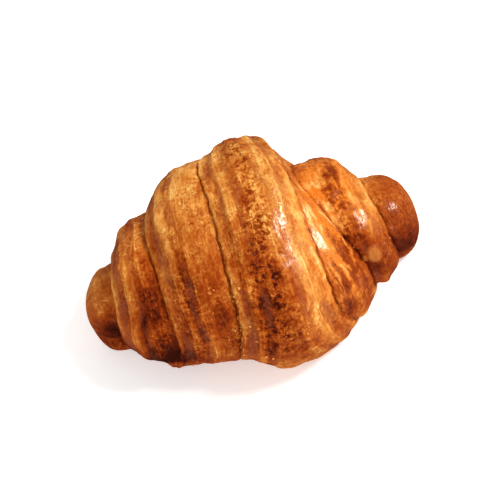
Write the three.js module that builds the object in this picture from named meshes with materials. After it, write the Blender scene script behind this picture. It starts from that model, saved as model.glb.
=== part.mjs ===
// A baked croissant, in millimetres, +Z up.
// It is one long triangle of layered dough, rolled up from its base to its tip and then baked. The roll
// lies along X with its front at -Y, and it has sagged onto a flat base at z = 0. A place on it is given
// by its distance from the middle along X and by its turn, which counts how often the dough has gone
// round: a whole number is at the base, and then come the front, the top and the back.
import * as THREE from "three";

// X of the roll's thickest place, and how far the two ends lie from it
const MIDDLE_X = 4;
const END = { left: 68.2, right: 58.3 };

// Distance of the dough's cut edge from the middle. Each row is a turn, from the first to the third,
// and holds its places at the base, on the front and behind the top. The tip ends the fourth turn.
const EDGE_STATIONS = [0, 0.3, 0.6];
const EDGE = {
  left: [
    [53.2, 55.4, 54.4],
    [46.6, 36.8, 37.0],
    [22.8, 13.5, 13.2],
  ],
  right: [
    [41.0, 46.8, 39.8],
    [40.2, 33.8, 17.9],
    [31.4, 20.9, 12.5],
  ],
};
const TIP_TURN = 4;
const TIP_TAPER = 0.3;
const EDGE_WANDERS = [
  { size: 0.7, waves: 2.6 },
  { size: 0.35, waves: 5.7 },
];

// Radius of each turn at its highest place, low on the front and behind the top. The rows run from the
// knob at the end to the wide turn in the middle, which both sides share.
const CREST_STATIONS = [0.14, 0.64];
const CREST_SPAN = { first: -0.3, last: 4.2 };
const CREST = {
  left: [
    [12.6, 14.2],
    [30.0, 27.2],
    [35.2, 39.6],
    [43.0, 42.5],
  ],
  right: [
    [12.2, 18.3],
    [21.3, 27.9],
    [32.4, 36.5],
    [43.0, 42.5],
  ],
};

// How each turn falls from its crest to its cut edge: the share of its width that slopes, and how
// squarely it ends, from about 1 for a straight slope to 2 for a round shoulder. Each row is a turn
// and holds its value on the front and its value over the back.
const SLOPE_SHARE = {
  left: [
    [0.0, 0.0],
    [0.83, 0.53],
    [0.98, 0.81],
    [1.0, 1.0],
  ],
  right: [
    [0.0, 0.0],
    [0.56, 0.43],
    [1.0, 0.97],
    [0.7, 0.3],
  ],
};
const SQUARENESS = {
  left: [
    [2.27, 2.27],
    [2.6, 1.6],
    [1.69, 1.94],
    [1.97, 1.05],
  ],
  right: [
    [2.26, 2.26],
    [1.98, 1.29],
    [1.36, 1.07],
    [1.05, 2.6],
  ],
};
const BACK_DEGREES = { from: 140, to: 215 };
const CREST_ROUNDNESS = 1.6;
const SHORTEST_SLOPE = 1.5;
const KNOB_CAP = 13;

// The step up at a cut edge, the tuck of the turn below it, and the plies that show as terraces
const EDGE_WALL = 1;
const TUCK_DEPTH = 0.8;
const TUCK_LENGTH = 2.2;
const PLIES = [
  { inset: 4.2, depth: 0.7, width: 1.6 },
  { inset: 9.0, depth: 0.5, width: 2.0 },
];
const SEAM_START_SHARE = 0.15;

// The section across the roll: its centre's height, its bow to the front, and how much wider and
// flatter than a circle it is in the middle
const CENTRE_HEIGHT = { end: 15.3, swell: 6.6 };
const BOW = 0.6;
const SKEW = 2.2;
const WIDEN = 0.055;
const TOP_SAG = 0.08;
const BASE_SAG = 0.22;
const SAG_BLEND = 3;
const SAG_LENGTH = 63;

// The base: the relief dies out towards it, and the seams stay as shallow grooves
const RELIEF_DEGREES = { left: { gone: 57, full: 97 }, right: { gone: 27, full: 48 } };
const GROOVE_DEPTH = 0.9;
const GROOVE_WIDTH = 1.3;

// Unevenness of the crust: each swell has an amplitude, waves per turn, a wavelength and a phase
const SWELL_DEGREES = { gone: 30, full: 65 };
const SWELLS = [
  { height: 0.55, waves: 2, length: 47, phase: 0.6 },
  { height: 0.4, waves: 5, length: 29, phase: 2.1 },
  { height: 0.28, waves: 9, length: 17, phase: 4.4 },
  { height: 0.2, waves: 13, length: 10, phase: 1.3 },
];

// The mesh: columns round the roll, rings along it, and the steps that measure a profile's length
const COLUMNS = 72;
const RINGS = 80;
const PROFILE_STEPS = 900;
const SEAM_CROWDING = { weight: 2.4, width: 1.5 };

const CRUST_COLOUR = 0xb5662a;
const CRUST_ROUGHNESS = 0.5;

const SIGN = { left: -1, right: 1 };
const FULL_TURN = 2 * Math.PI;
const FULL_DEGREES = 360;
const DEGREE = FULL_TURN / FULL_DEGREES;

const clamp = THREE.MathUtils.clamp;
const smoothstep = THREE.MathUtils.smoothstep;
const lerp = THREE.MathUtils.lerp;

// A smooth curve through the points (xs, ys), with the slope at each point taken from its neighbours
function curveThrough(xs, ys) {
  const last = xs.length - 1;
  const steepness = (i) => (ys[i + 1] - ys[i]) / (xs[i + 1] - xs[i]);
  const slopes = xs.map((_, i) => {
    if (i === 0 || i === last) {
      return steepness(Math.min(i, last - 1));
    }
    const before = xs[i] - xs[i - 1];
    const after = xs[i + 1] - xs[i];
    const rise = before ** 2 * (ys[i + 1] - ys[i]) + after ** 2 * (ys[i] - ys[i - 1]);
    return rise / (before * after * (before + after));
  });
  return (x) => {
    let i = 0;
    while (i < last - 1 && x > xs[i + 1]) {
      i += 1;
    }
    const span = xs[i + 1] - xs[i];
    const s = clamp((x - xs[i]) / span, 0, 1);
    const fromStart = 2 * s ** 3 - 3 * s ** 2 + 1;
    const startSlope = s ** 3 - 2 * s ** 2 + s;
    const endSlope = s ** 3 - s ** 2;
    return (
      fromStart * ys[i] +
      (1 - fromStart) * ys[i + 1] +
      span * (startSlope * slopes[i] + endSlope * slopes[i + 1])
    );
  };
}

// The cut edge's distance from the middle, and the crest's radius, as curves over the turns
function edgeCurve(side) {
  const turns = [];
  EDGE[side].forEach((_, row) => EDGE_STATIONS.forEach((s) => turns.push(row + 1 + s)));
  const curve = curveThrough([...turns, TIP_TURN], [...EDGE[side].flat(), 0]);
  const wander = (turn) =>
    EDGE_WANDERS.reduce((sum, w) => sum + w.size * Math.sin(FULL_TURN * w.waves * turn + SIGN[side]), 0);
  return (turn) => curve(turn) + wander(turn) * smoothstep(TIP_TURN - turn, 0, TIP_TAPER);
}

function crestCurve(side) {
  const turns = [];
  CREST[side].forEach((_, row) => CREST_STATIONS.forEach((s) => turns.push(row + s)));
  const radii = CREST[side].flat();
  return curveThrough([CREST_SPAN.first, ...turns, CREST_SPAN.last], [radii[0], ...radii, radii.at(-1)]);
}

const edge = { left: edgeCurve("left"), right: edgeCurve("right") };
const crest = { left: crestCurve("left"), right: crestCurve("right") };

// The seams of one side at a share of a turn: the distance of each from the middle, and how far it
// has opened. The outermost one starts at the base, and the innermost one ends there in the tip.
function seamsAt(side, share) {
  const opening = smoothstep(share, 0, SEAM_START_SHARE);
  const closing = 1 - smoothstep(share, 1 - SEAM_START_SHARE, 1);
  return [opening, 1, closing].map((open, i) => ({ distance: edge[side](i + 1 + share), open }));
}

// Terraces of the plies on a turn's slope, at a depth inwards from its cut edge
function plyDrop(inset) {
  return PLIES.reduce((sum, ply) => {
    const half = ply.width / 2;
    return sum + ply.depth * (1 - smoothstep(inset, ply.inset - half, ply.inset + half));
  }, 0);
}

// A value that goes from its front one to its back one over the top
function frontToBack([front, back], share) {
  return lerp(front, back, smoothstep(share * FULL_DEGREES, BACK_DEGREES.from, BACK_DEGREES.to));
}

// The radius of the stacked turns. The turn numbered first is the knob at the end of the roll. As
// relief goes from 1 to 0 the steps between the turns melt into one smooth cone.
function stackRadius(side, share, distance, first, relief) {
  const edges = [];
  edges[first] = END[side];
  for (let turn = first + 1; turn < TIP_TURN; turn += 1) {
    edges[turn] = edge[side](turn + share);
  }
  edges[TIP_TURN] = 0;
  let k = first;
  while (k < TIP_TURN - 1 && distance < edges[k + 1]) {
    k += 1;
  }
  const outer = edges[k];
  const inner = edges[k + 1];
  const top = crest[side](k + share);
  const square = frontToBack(SQUARENESS[side][k === first ? 0 : k], share);
  let mean;
  let radius;
  if (k === first) {
    const q = clamp((distance - (outer - KNOB_CAP)) / KNOB_CAP, 0, 1);
    mean = top * (1 - q ** square) ** (1 / square);
    radius = mean;
  } else {
    const lower = crest[side](k - 1 + share);
    const slopeShare = frontToBack(SLOPE_SHARE[side][k], share);
    const slope = Math.max((outer - inner) * slopeShare, SHORTEST_SLOPE);
    const q = clamp((distance - (outer - slope)) / slope, 0, 1);
    const fall = 1 - (1 - q ** Math.max(square, CREST_ROUNDNESS)) ** (1 / square);
    mean = lerp(lower, top, smoothstep(outer - distance, 0, outer - inner));
    radius = top - (top - lower - EDGE_WALL) * fall - plyDrop(outer - distance);
  }
  if (k < TIP_TURN - 1) {
    radius -= TUCK_DEPTH * Math.exp((inner - distance) / TUCK_LENGTH);
  }
  return lerp(mean, radius, relief);
}

// How far the angle is from straight down, in degrees
function degreesFromBase(angle) {
  return Math.abs(Math.atan2(Math.sin(angle), Math.cos(angle))) / DEGREE;
}

function fadeIn(angle, degrees) {
  return smoothstep(degreesFromBase(angle), degrees.gone, degrees.full);
}

// The radius at x and an angle that runs from the base over the front. The outermost seam starts at
// the base, so there the knob and the first turn are still one.
function radiusAt(x, angle) {
  const side = x < MIDDLE_X ? "left" : "right";
  const distance = Math.min(Math.abs(x - MIDDLE_X), END[side]);
  const share = angle / FULL_TURN;
  const relief = fadeIn(angle, RELIEF_DEGREES[side]);
  const joined = stackRadius(side, share, distance, 1, relief);
  const parted = stackRadius(side, share, distance, 0, relief);
  const radius = lerp(joined, parted, smoothstep(share, 0, SEAM_START_SHARE));
  const swell = SWELLS.reduce((sum, wave) => {
    const along = (FULL_TURN * x) / wave.length;
    return sum + wave.height * Math.sin(along + wave.phase) * Math.sin(wave.waves * angle + along / 2);
  }, 0);
  const nearEnd = smoothstep(END[side] - distance, 0, KNOB_CAP);
  return radius + swell * nearEnd * fadeIn(angle, SWELL_DEGREES);
}

function bell(q) {
  return Math.exp(-(q ** 2));
}

// Depth of the groove that a seam leaves in the base
function grooveAt(x, angle) {
  const side = x < MIDDLE_X ? "left" : "right";
  const distance = Math.abs(x - MIDDLE_X);
  const share = angle / FULL_TURN;
  const depth = seamsAt(side, share).reduce((deepest, seam) => {
    return Math.max(deepest, seam.open * bell((distance - seam.distance) / GROOVE_WIDTH));
  }, 0);
  return GROOVE_DEPTH * depth * (1 - fadeIn(angle, RELIEF_DEGREES[side]));
}

// The point of the crust at x and an angle
function crustPoint(x, angle, radius) {
  const along = x / SAG_LENGTH;
  const body = clamp(1 - along ** 2, 0, 1);
  const up = -Math.cos(angle);
  const upper = 0.5 + 0.5 * Math.tanh(SAG_BLEND * up);
  const sag = lerp(1 - BASE_SAG * body, 1 - TOP_SAG * body, upper);
  const y = -Math.sin(angle) * radius * (1 + WIDEN * body) - BOW * along ** 2 + SKEW * along;
  const z = CENTRE_HEIGHT.end + CENTRE_HEIGHT.swell * body + sag * radius * up;
  const floor = radius > 0 ? grooveAt(x, angle) : 0;
  return new THREE.Vector3(x, y, Math.max(z, floor));
}

// The x of each ring at one angle: evenly spaced along the profile, and closer at the seams
function ringPlaces(angle) {
  const start = MIDDLE_X - END.left;
  const span = END.left + END.right;
  const share = angle / FULL_TURN;
  const seams = ["left", "right"].flatMap((side) =>
    seamsAt(side, share).map((seam) => ({ x: MIDDLE_X + SIGN[side] * seam.distance, open: seam.open })),
  );
  const xs = [];
  const lengths = [];
  let radiusBefore = 0;
  for (let i = 0; i <= PROFILE_STEPS; i += 1) {
    const x = start + (span * i) / PROFILE_STEPS;
    const radius = radiusAt(x, angle);
    const crowding = seams.reduce((sum, seam) => {
      return sum + seam.open * bell((x - seam.x) / SEAM_CROWDING.width);
    }, 0);
    const step = Math.hypot(span / PROFILE_STEPS, radius - radiusBefore);
    const weighted = step + (SEAM_CROWDING.weight * crowding * span) / PROFILE_STEPS;
    xs.push(x);
    lengths.push(i === 0 ? 0 : lengths[i - 1] + weighted);
    radiusBefore = radius;
  }
  const places = [];
  let i = 0;
  for (let ring = 1; ring <= RINGS; ring += 1) {
    const target = (lengths.at(-1) * ring) / (RINGS + 1);
    while (lengths[i + 1] < target) {
      i += 1;
    }
    places.push(lerp(xs[i], xs[i + 1], (target - lengths[i]) / (lengths[i + 1] - lengths[i])));
  }
  return places;
}

// The crust as one closed surface: columns of points round the roll, and a pole at each end
function crustGeometry() {
  const points = [];
  for (let column = 0; column < COLUMNS; column += 1) {
    const angle = (FULL_TURN * column) / COLUMNS;
    ringPlaces(angle).forEach((x) => points.push(crustPoint(x, angle, radiusAt(x, angle))));
  }
  const leftPole = points.length;
  points.push(crustPoint(MIDDLE_X - END.left, 0, 0));
  const rightPole = points.length;
  points.push(crustPoint(MIDDLE_X + END.right, 0, 0));
  const box = new THREE.Box3().setFromPoints(points);
  const centre = box.getCenter(new THREE.Vector3());
  points.forEach((point) => point.sub(new THREE.Vector3(centre.x, centre.y, box.min.z)));

  const faces = [];
  for (let column = 0; column < COLUMNS; column += 1) {
    const here = column * RINGS;
    const next = ((column + 1) % COLUMNS) * RINGS;
    faces.push(leftPole, here, next);
    faces.push(rightPole, next + RINGS - 1, here + RINGS - 1);
    for (let ring = 0; ring < RINGS - 1; ring += 1) {
      faces.push(here + ring, next + ring + 1, next + ring);
      faces.push(here + ring, here + ring + 1, next + ring + 1);
    }
  }
  const geometry = new THREE.BufferGeometry();
  geometry.setFromPoints(points);
  geometry.setIndex(faces);
  geometry.computeVertexNormals();
  return geometry;
}

function croissant() {
  const crust = new THREE.MeshStandardMaterial({
    color: CRUST_COLOUR,
    roughness: CRUST_ROUGHNESS,
    metalness: 0,
  });
  const mesh = new THREE.Mesh(crustGeometry(), crust);
  mesh.name = "croissant";
  return mesh;
}

const part = new THREE.Group();
part.add(croissant());

export default part;
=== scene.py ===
import bpy
import numpy as np
from mathutils import Matrix, Vector


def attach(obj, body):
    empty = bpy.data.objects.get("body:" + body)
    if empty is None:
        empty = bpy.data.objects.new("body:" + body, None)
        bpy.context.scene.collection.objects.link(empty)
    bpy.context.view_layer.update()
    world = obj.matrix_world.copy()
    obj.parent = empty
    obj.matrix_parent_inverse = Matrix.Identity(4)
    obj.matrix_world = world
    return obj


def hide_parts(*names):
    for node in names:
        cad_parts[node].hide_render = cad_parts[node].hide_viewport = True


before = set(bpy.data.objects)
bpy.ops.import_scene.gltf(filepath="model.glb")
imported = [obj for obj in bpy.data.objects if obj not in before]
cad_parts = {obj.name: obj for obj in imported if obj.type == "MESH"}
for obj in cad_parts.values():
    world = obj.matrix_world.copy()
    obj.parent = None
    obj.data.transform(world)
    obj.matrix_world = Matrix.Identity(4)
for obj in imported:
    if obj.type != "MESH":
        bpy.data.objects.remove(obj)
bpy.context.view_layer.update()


# The rolled dough
# The croissant is one long triangle of layered dough, rolled up from its base to its tip and baked, so
# each turn lies over the edge of the turn before it. The roll lies along X and has sagged onto its base.
# A place is its distance from the middle and its turn, which counts how often the dough has gone round.
MM = 0.001
FULL_DEGREES = 360

# X of the roll's thickest place and the two ends' distances from it, in mm
MIDDLE_X = 4.0
END = {"left": 68.2, "right": 58.3}
SIGN = {"left": -1.0, "right": 1.0}
FULL_TURN = 2 * np.pi
TIP_TURN = 4

# Distance of the dough's cut edge from the middle, in mm: a row for each turn, at the base, front and back
EDGE_STATIONS = [0, 0.3, 0.6]
EDGE = {
    "left": [[53.2, 55.4, 54.4], [46.6, 36.8, 37.0], [22.8, 13.5, 13.2]],
    "right": [[41.0, 46.8, 39.8], [40.2, 33.8, 17.9], [31.4, 20.9, 12.5]],
}
# The edge wanders by an amount in mm, in waves per turn, and holds still towards the tip
EDGE_WANDERS = [(0.7, 2.6), (0.35, 5.7)]
TIP_TAPER = 0.3

# Small tears of the cut edge: depth and wavelength in mm
EDGE_TEARS = [(0.15, 11.3), (0.13, 6.7), (0.06, 4.3)]

# Radius of each turn at its crest, in mm: a row for each turn, low on the front and behind the top
CREST_STATIONS = [0.14, 0.64]
CREST_SPAN = [-0.3, 4.2]
CREST = {
    "left": [[12.6, 14.2], [30.0, 27.2], [35.2, 39.6], [43.0, 42.5]],
    "right": [[12.2, 18.3], [21.3, 27.9], [32.4, 36.5], [43.0, 42.5]],
}

# Mean radius at each whole turn, in mm, and the steps that add up the strip's length
MEAN_RADIUS = [14, 22, 31, 41, 43]
STRIP_STEPS = 400

# How each turn falls from its crest to its cut edge: a row for each turn, on the front and over the back
SLOPE_SHARE = {
    "left": [[0.0, 0.0], [0.83, 0.53], [0.98, 0.81], [1.0, 1.0]],
    "right": [[0.0, 0.0], [0.56, 0.43], [1.0, 0.97], [0.7, 0.3]],
}
SQUARENESS = {
    "left": [[2.27, 2.27], [2.6, 1.6], [1.69, 1.94], [1.97, 1.05]],
    "right": [[2.26, 2.26], [1.98, 1.29], [1.36, 1.07], [1.05, 2.6]],
}
BACK_DEGREES = (140.0, 215.0)
CREST_ROUNDNESS = 1.6
SHORTEST_SLOPE = 1.5
LEAST_TURN_WIDTH = 0.001
KNOB_CAP = 13.0

# The step up at a cut edge, the tuck of the turn below it, and the plies that show as terraces, each
# with its distance from the edge, depth and width, in mm
EDGE_WALL = 1.0
TUCK_DEPTH = 0.6
TUCK_LENGTH = 2.2
PLY_STEPS = [(4.2, 0.7, 1.6), (9.0, 0.5, 2.0)]
SEAM_START_SHARE = 0.15

# The narrow gap that gapes under each cut edge, from the outermost seam inwards, in mm
SEAM_GAP = {"left": [0.0, 0.1, 0.8], "right": [0.2, 0.4, 0.7]}
SEAM_GAP_WIDTH = 0.35

# The section across the roll: its centre's height, its bow to the front, and how it sagged. The relief
# dies out towards the base, where the seams stay as shallow grooves.
CENTRE_HEIGHT = {"end": 15.3, "swell": 6.6}
BOW = 0.6
SKEW = 2.2
WIDEN = 0.055
TOP_SAG = 0.08
BASE_SAG = 0.22
SAG_BLEND = 3.0
SAG_LENGTH = 63.0
RELIEF_DEGREES = {"left": (57, 97), "right": (27, 48)}
GROOVE_DEPTH = 0.9
GROOVE_WIDTH = 1.3

# Swells of the crust: height in mm, waves per turn, wavelength along the roll in mm, and phase
SWELL_DEGREES = (30, 65)
SWELLS = [(0.55, 2, 47.0, 0.6), (0.4, 5, 29.0, 2.1), (0.28, 9, 17.0, 4.4), (0.2, 13, 10.0, 1.3)]

# The mesh: columns round the roll, rings along it, and how much and how far the rings crowd at a seam
COLUMNS = 392
RINGS = 248
PROFILE_STEPS = 1500
SEAM_CROWDING = (1.6, 1.2)


def smoothstep(low, high, value):
    s = np.clip((value - low) / (high - low), 0, 1)
    return s * s * (3 - 2 * s)


def lerp(a, b, share):
    return a + (b - a) * share


def bell(q):
    return np.exp(-(q ** 2))


def curve_through(xs, ys):
    """A smooth curve through the points, whose slope at each point comes from its neighbours."""
    xs = np.asarray(xs, float)
    ys = np.asarray(ys, float)
    slopes = np.gradient(ys, xs)

    def at(x):
        i = np.clip(np.searchsorted(xs, x) - 1, 0, len(xs) - 2)
        span = xs[i + 1] - xs[i]
        s = np.clip((x - xs[i]) / span, 0, 1)
        from_start = 2 * s ** 3 - 3 * s ** 2 + 1
        bend = (s ** 3 - 2 * s ** 2 + s) * slopes[i] + (s ** 3 - s ** 2) * slopes[i + 1]
        return from_start * ys[i] + (1 - from_start) * ys[i + 1] + span * bend

    return at


def edge_curve(side):
    """The cut edge's distance from the middle over the turns, in mm."""
    turns = [row + 1 + s for row in range(3) for s in EDGE_STATIONS]
    curve = curve_through(turns + [TIP_TURN], sum(EDGE[side], []) + [0])

    def at(turn):
        wander = sum(size * np.sin(FULL_TURN * waves * turn + SIGN[side]) for size, waves in EDGE_WANDERS)
        return curve(turn) + wander * smoothstep(0, TIP_TAPER, TIP_TURN - turn)

    return at


def crest_curve(side):
    """The crest's radius over the turns, in mm."""
    turns = [row + s for row in range(4) for s in CREST_STATIONS]
    radii = sum(CREST[side], [])
    first, last = CREST_SPAN
    return curve_through([first] + turns + [last], [radii[0]] + radii + [radii[-1]])


edge = {side: edge_curve(side) for side in END}
crest = {side: crest_curve(side) for side in END}


def strip_length(turn):
    """The length of the strip of dough from its outer end to this turn, in mm."""
    steps = np.linspace(0, TIP_TURN, STRIP_STEPS + 1)
    round_here = FULL_TURN * curve_through(np.arange(TIP_TURN + 1), MEAN_RADIUS)(steps)
    lengths = np.cumsum((round_here[1:] + round_here[:-1]) / 2 * steps[1])
    return np.interp(turn, steps, np.concatenate([[0], lengths]))


def torn_edge(side, turn):
    """The cut edge with its small tears, in mm from the middle."""
    length = strip_length(turn)
    return edge[side](turn) + sum(depth * np.sin(FULL_TURN * length / wave) for depth, wave in EDGE_TEARS)


def front_to_back(pair, share):
    """A value that goes from its front one to its back one over the top."""
    low, high = np.array(BACK_DEGREES) / FULL_DEGREES
    return lerp(pair[0], pair[1], smoothstep(low, high, share))


def stacked_turns(side, share, distance, first, relief):
    """Radius, inset from the cut edge, turn number and width of the stacked dough, all in mm.
    The turn numbered first is the knob at the end of the roll. As relief goes from 1 to 0 the steps
    between the turns melt into one smooth cone."""
    edges = {first: np.full_like(share, END[side]), TIP_TURN: np.zeros_like(share)}
    torn = dict(edges)
    for turn in range(first + 1, TIP_TURN):
        edges[turn] = edge[side](turn + share)
        torn[turn] = torn_edge(side, turn + share)
    shape = np.broadcast_shapes(share.shape, distance.shape)
    radius, inset, number, width = (np.zeros(shape) for _ in range(4))
    for k in range(first, TIP_TURN):
        outer, inner = edges[k], edges[k + 1]
        here = (distance >= torn[k + 1]) & ((distance < torn[k]) | (k == first))
        top = crest[side](k + share)
        if k == first:
            square = SQUARENESS[side][0][0]
            q = np.clip((distance - (outer - KNOB_CAP)) / KNOB_CAP, 0, 1)
            mean = top * (1 - q ** square) ** (1 / square)
            stepped = mean
        else:
            square = front_to_back(SQUARENESS[side][k], share)
            lower = crest[side](k - 1 + share)
            slope = (outer - inner) * front_to_back(SLOPE_SHARE[side][k], share)
            slope = np.maximum(slope, SHORTEST_SLOPE)
            q = np.clip((distance - (outer - slope)) / slope, 0, 1)
            fall = 1 - (1 - q ** np.maximum(square, CREST_ROUNDNESS)) ** (1 / square)
            turn_width = np.maximum(outer - inner, LEAST_TURN_WIDTH)
            mean = lerp(lower, top, smoothstep(0, turn_width, outer - distance))
            drop = sum(d * (1 - smoothstep(i - w / 2, i + w / 2, outer - distance)) for i, d, w in PLY_STEPS)
            stepped = top - (top - lower - EDGE_WALL) * fall - drop
        if k < TIP_TURN - 1:
            tucked = np.maximum(distance - torn[k + 1], 0)
            stepped = stepped - TUCK_DEPTH * np.exp(-tucked / TUCK_LENGTH)
        radius = np.where(here, lerp(mean, stepped, relief), radius)
        inset = np.where(here, outer - distance, inset)
        number = np.where(here, k + share, number)
        width = np.where(here, outer - inner, width)
    return radius, inset, number, width


def degrees_from_base(angle):
    """How far the angle is from straight down, either way."""
    return np.abs(np.degrees(np.arctan2(np.sin(angle), np.cos(angle))))


def seam_opening(share):
    """How far each seam has opened: the outermost starts at the base, the innermost ends in the tip."""
    opening = smoothstep(0, SEAM_START_SHARE, share)
    closing = 1 - smoothstep(1 - SEAM_START_SHARE, 1, share)
    return [opening, np.ones_like(share), closing]


def crust(side, angle, x):
    """Radius and pattern places of the crust on one side, for columns of angles and rows of x."""
    share = angle / FULL_TURN
    distance = np.minimum(np.abs(x - MIDDLE_X), END[side])
    relief = smoothstep(*RELIEF_DEGREES[side], degrees_from_base(angle))
    joined = stacked_turns(side, share, distance, 1, relief)
    parted = stacked_turns(side, share, distance, 0, relief)
    opened = smoothstep(0, SEAM_START_SHARE, share)
    radius, inset, number, width = (lerp(a, b, opened) for a, b in zip(joined, parted))
    number = np.where(opened < 0.5, joined[2], parted[2])
    near_end = smoothstep(0, KNOB_CAP, END[side] - distance)
    swelling = smoothstep(*SWELL_DEGREES, degrees_from_base(angle))
    for height, waves, length, phase in SWELLS:
        along = FULL_TURN * x / length
        swell = height * np.sin(along + phase) * np.sin(waves * angle + along / 2)
        radius = radius + swell * near_end * swelling
    seam = np.zeros_like(radius)
    for k, is_open in enumerate(seam_opening(share)):
        off = distance - torn_edge(side, k + 1 + share)
        gap = SEAM_GAP[side][k] * is_open * bell((off - SEAM_GAP_WIDTH) / SEAM_GAP_WIDTH)
        radius = radius - gap * relief
        seam = np.maximum(seam, is_open * bell((off - SEAM_GAP_WIDTH) / (2 * SEAM_GAP_WIDTH)))
    return radius, inset, number, width, seam, relief


def crust_both(angle, x):
    left = crust("left", angle, x)
    right = crust("right", angle, x)
    return [np.where(x < MIDDLE_X, a, b) for a, b in zip(left, right)]


def ring_places(angle):
    """The x of each ring at each angle: evenly spaced along the profile, and closer at the seams."""
    xs = np.linspace(MIDDLE_X - END["left"], MIDDLE_X + END["right"], PROFILE_STEPS + 1)
    radius = crust_both(angle, xs[None, :])[0]
    step = xs[1] - xs[0]
    crowding = np.zeros_like(radius)
    weight, reach = SEAM_CROWDING
    share = angle / FULL_TURN
    for side in END:
        for k, is_open in enumerate(seam_opening(share)):
            place = MIDDLE_X + SIGN[side] * torn_edge(side, k + 1 + share)
            crowding += is_open * bell((xs[None, :] - place) / reach)
    lengths = np.hypot(step, np.diff(radius, axis=1)) + weight * step * crowding[:, 1:]
    lengths = np.concatenate([np.zeros((len(angle), 1)), np.cumsum(lengths, axis=1)], axis=1)
    wanted = np.arange(1, RINGS + 1) / (RINGS + 1)
    return np.stack([np.interp(wanted * row[-1], row, xs) for row in lengths])


def crust_points(x, angle, radius, groove):
    """Points of the crust in mm, bowed, skewed and sagged onto the base."""
    along = x / SAG_LENGTH
    body = np.clip(1 - along ** 2, 0, 1)
    up = -np.cos(angle)
    upper = 0.5 + 0.5 * np.tanh(SAG_BLEND * up)
    sag = lerp(1 - BASE_SAG * body, 1 - TOP_SAG * body, upper)
    y = -np.sin(angle) * radius * (1 + WIDEN * body) - BOW * along ** 2 + SKEW * along
    z = CENTRE_HEIGHT["end"] + CENTRE_HEIGHT["swell"] * body + sag * radius * up
    return np.stack([x + 0 * angle, y, np.maximum(z, groove)], axis=-1)


# Browning of the crust. Each place is its x in mm and its angle in degrees from the base over the front,
# its reach along the roll and round it in mm, and how much darker (-) or paler (+) it baked.
BROWNING = [
    (-55.5, 100, 4.5, 5, -0.85),
    (-55, 62, 10, 14, -0.9),
    (-44, 88, 9, 8, -0.8),
    (-31, 88, 9, 6, -1.4),
    (-38, 98, 5, 7, -0.9),
    (-33, 62, 16, 8, -0.8),
    (-34.5, 124, 3.2, 14, -0.75),
    (-47, 132, 2.6, 12, -0.4),
    (-41, 124, 4.5, 12, -0.75),
    (-38.5, 138, 2.4, 12, -0.4),
    (-36.5, 146, 3.2, 12, -0.5),
    (-27, 180, 5, 16, 0.3),
    (-23.5, 128, 4.5, 20, -0.75),
    (-18, 155, 5, 12, -0.2),
    (-30, 102, 6, 10, -0.4),
    (-18, 205, 9, 24, 0.5),
    (-14.5, 122, 4, 20, -0.9),
    (-2, 99, 9, 7, -0.3),
    (-4, 190, 6, 20, 0.25),
    (3, 200, 5, 12, 0.2),
    (9, 218, 9, 7, 0.4),
    (0, 213, 9, 8, 0.4),
    (10, 178, 3.5, 22, 0.35),
    (8.5, 166, 3, 14, 0.25),
    (5.5, 147, 3.2, 8, -0.15),
    (19.5, 152, 2.6, 26, -0.2),
    (23.5, 176, 3.5, 9, 0.25),
    (37, 181, 3.5, 8, 0.22),
    (3, 122, 8, 20, -1.05),
    (9, 86, 12, 9, -0.35),
    (17.5, 162, 4, 36, 0.7),
    (20, 128, 4, 20, 0.4),
    (27, 165, 5, 26, 0.4),
    (30, 100, 6, 14, -0.9),
    (33.6, 197, 4, 7, -1),
    (30.5, 210, 5, 7, 0.3),
    (20, 200, 4, 10, -0.25),
    (42, 182, 4, 14, 0.3),
    (45.4, 175, 2, 18, 0.8),
    (42.3, 139, 2.6, 6, 0.25),
    (34, 162, 3, 12, -0.5),
    (38, 138, 5, 10, -0.5),
    (42, 106, 5, 15, -0.85),
    (55.5, 99, 4.5, 7, -0.6),
    (44, 121, 3.6, 9, -0.35),
    (55, 62, 8, 9, -0.7),
    (54, 122, 8, 10, -0.55),
    (54, 190, 8, 20, -0.3),
    (-40, 250, 6, 16, -0.4),
    (-22, 262, 5, 26, -0.4),
    (2, 250, 5, 36, -0.6),
    (29, 250, 5, 16, -0.5),
    (40, 275, 6, 10, -0.5),
    (-10, 285, 26, 8, -0.5),
]
# Zones where the crest blistered into dark crumbs, in the same form, with their strength last
BLISTERING = [
    (6.5, 186, 3.5, 20, 0.55),
    (6.5, 160, 3.5, 14, 1),
    (5, 146, 4, 12, 1),
    (2, 124, 7, 22, 0.9),
    (5, 203, 5, 6, 0.8),
    (33.5, 168, 3, 14, 0.7),
    (37.5, 140, 3.5, 10, 0.7),
    (-23.5, 128, 4.5, 22, 0.8),
    (-38, 128, 3.5, 18, 0.6),
    (8, 98, 9, 10, 0.5),
    (3, 240, 4, 30, 0.8),
    (-23, 240, 4, 22, 0.7),
    (28, 240, 4, 16, 0.7),
    (40, 235, 3, 12, 0.5),
]
# Zones of smooth glazed islands with pale cracks between them
ISLANDS = [
    (26.5, 167, 6, 26, 1),
    (31, 135, 5.5, 24, 1),
    (37, 190, 5, 14, 0.6),
]
# Zones where the egg glaze pooled and shines
GLOSS = [
    (13.8, 167, 2.4, 18, 1),
    (15.4, 150, 2.3, 20, 1),
    (23, 172, 3.5, 16, 1),
    (27.5, 147, 4, 18, 1),
    (41, 165, 2.2, 9, 0.6),
    (55, 170, 8, 14, 0.3),
    (6.5, 160, 3, 16, 0.05),
    (-27, 225, 4, 18, 0.6),
    (14, 225, 3, 18, 0.7),
    (-42, 215, 4, 12, 0.4),
]
# Zones where the skin stayed smooth
SMOOTH = [
    (55, 150, 10, 40, 1),
    (42, 110, 6, 18, 0.9),
    (28.5, 150, 6, 40, 0.8),
    (-57, 150, 10, 40, 0.8),
]
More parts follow.
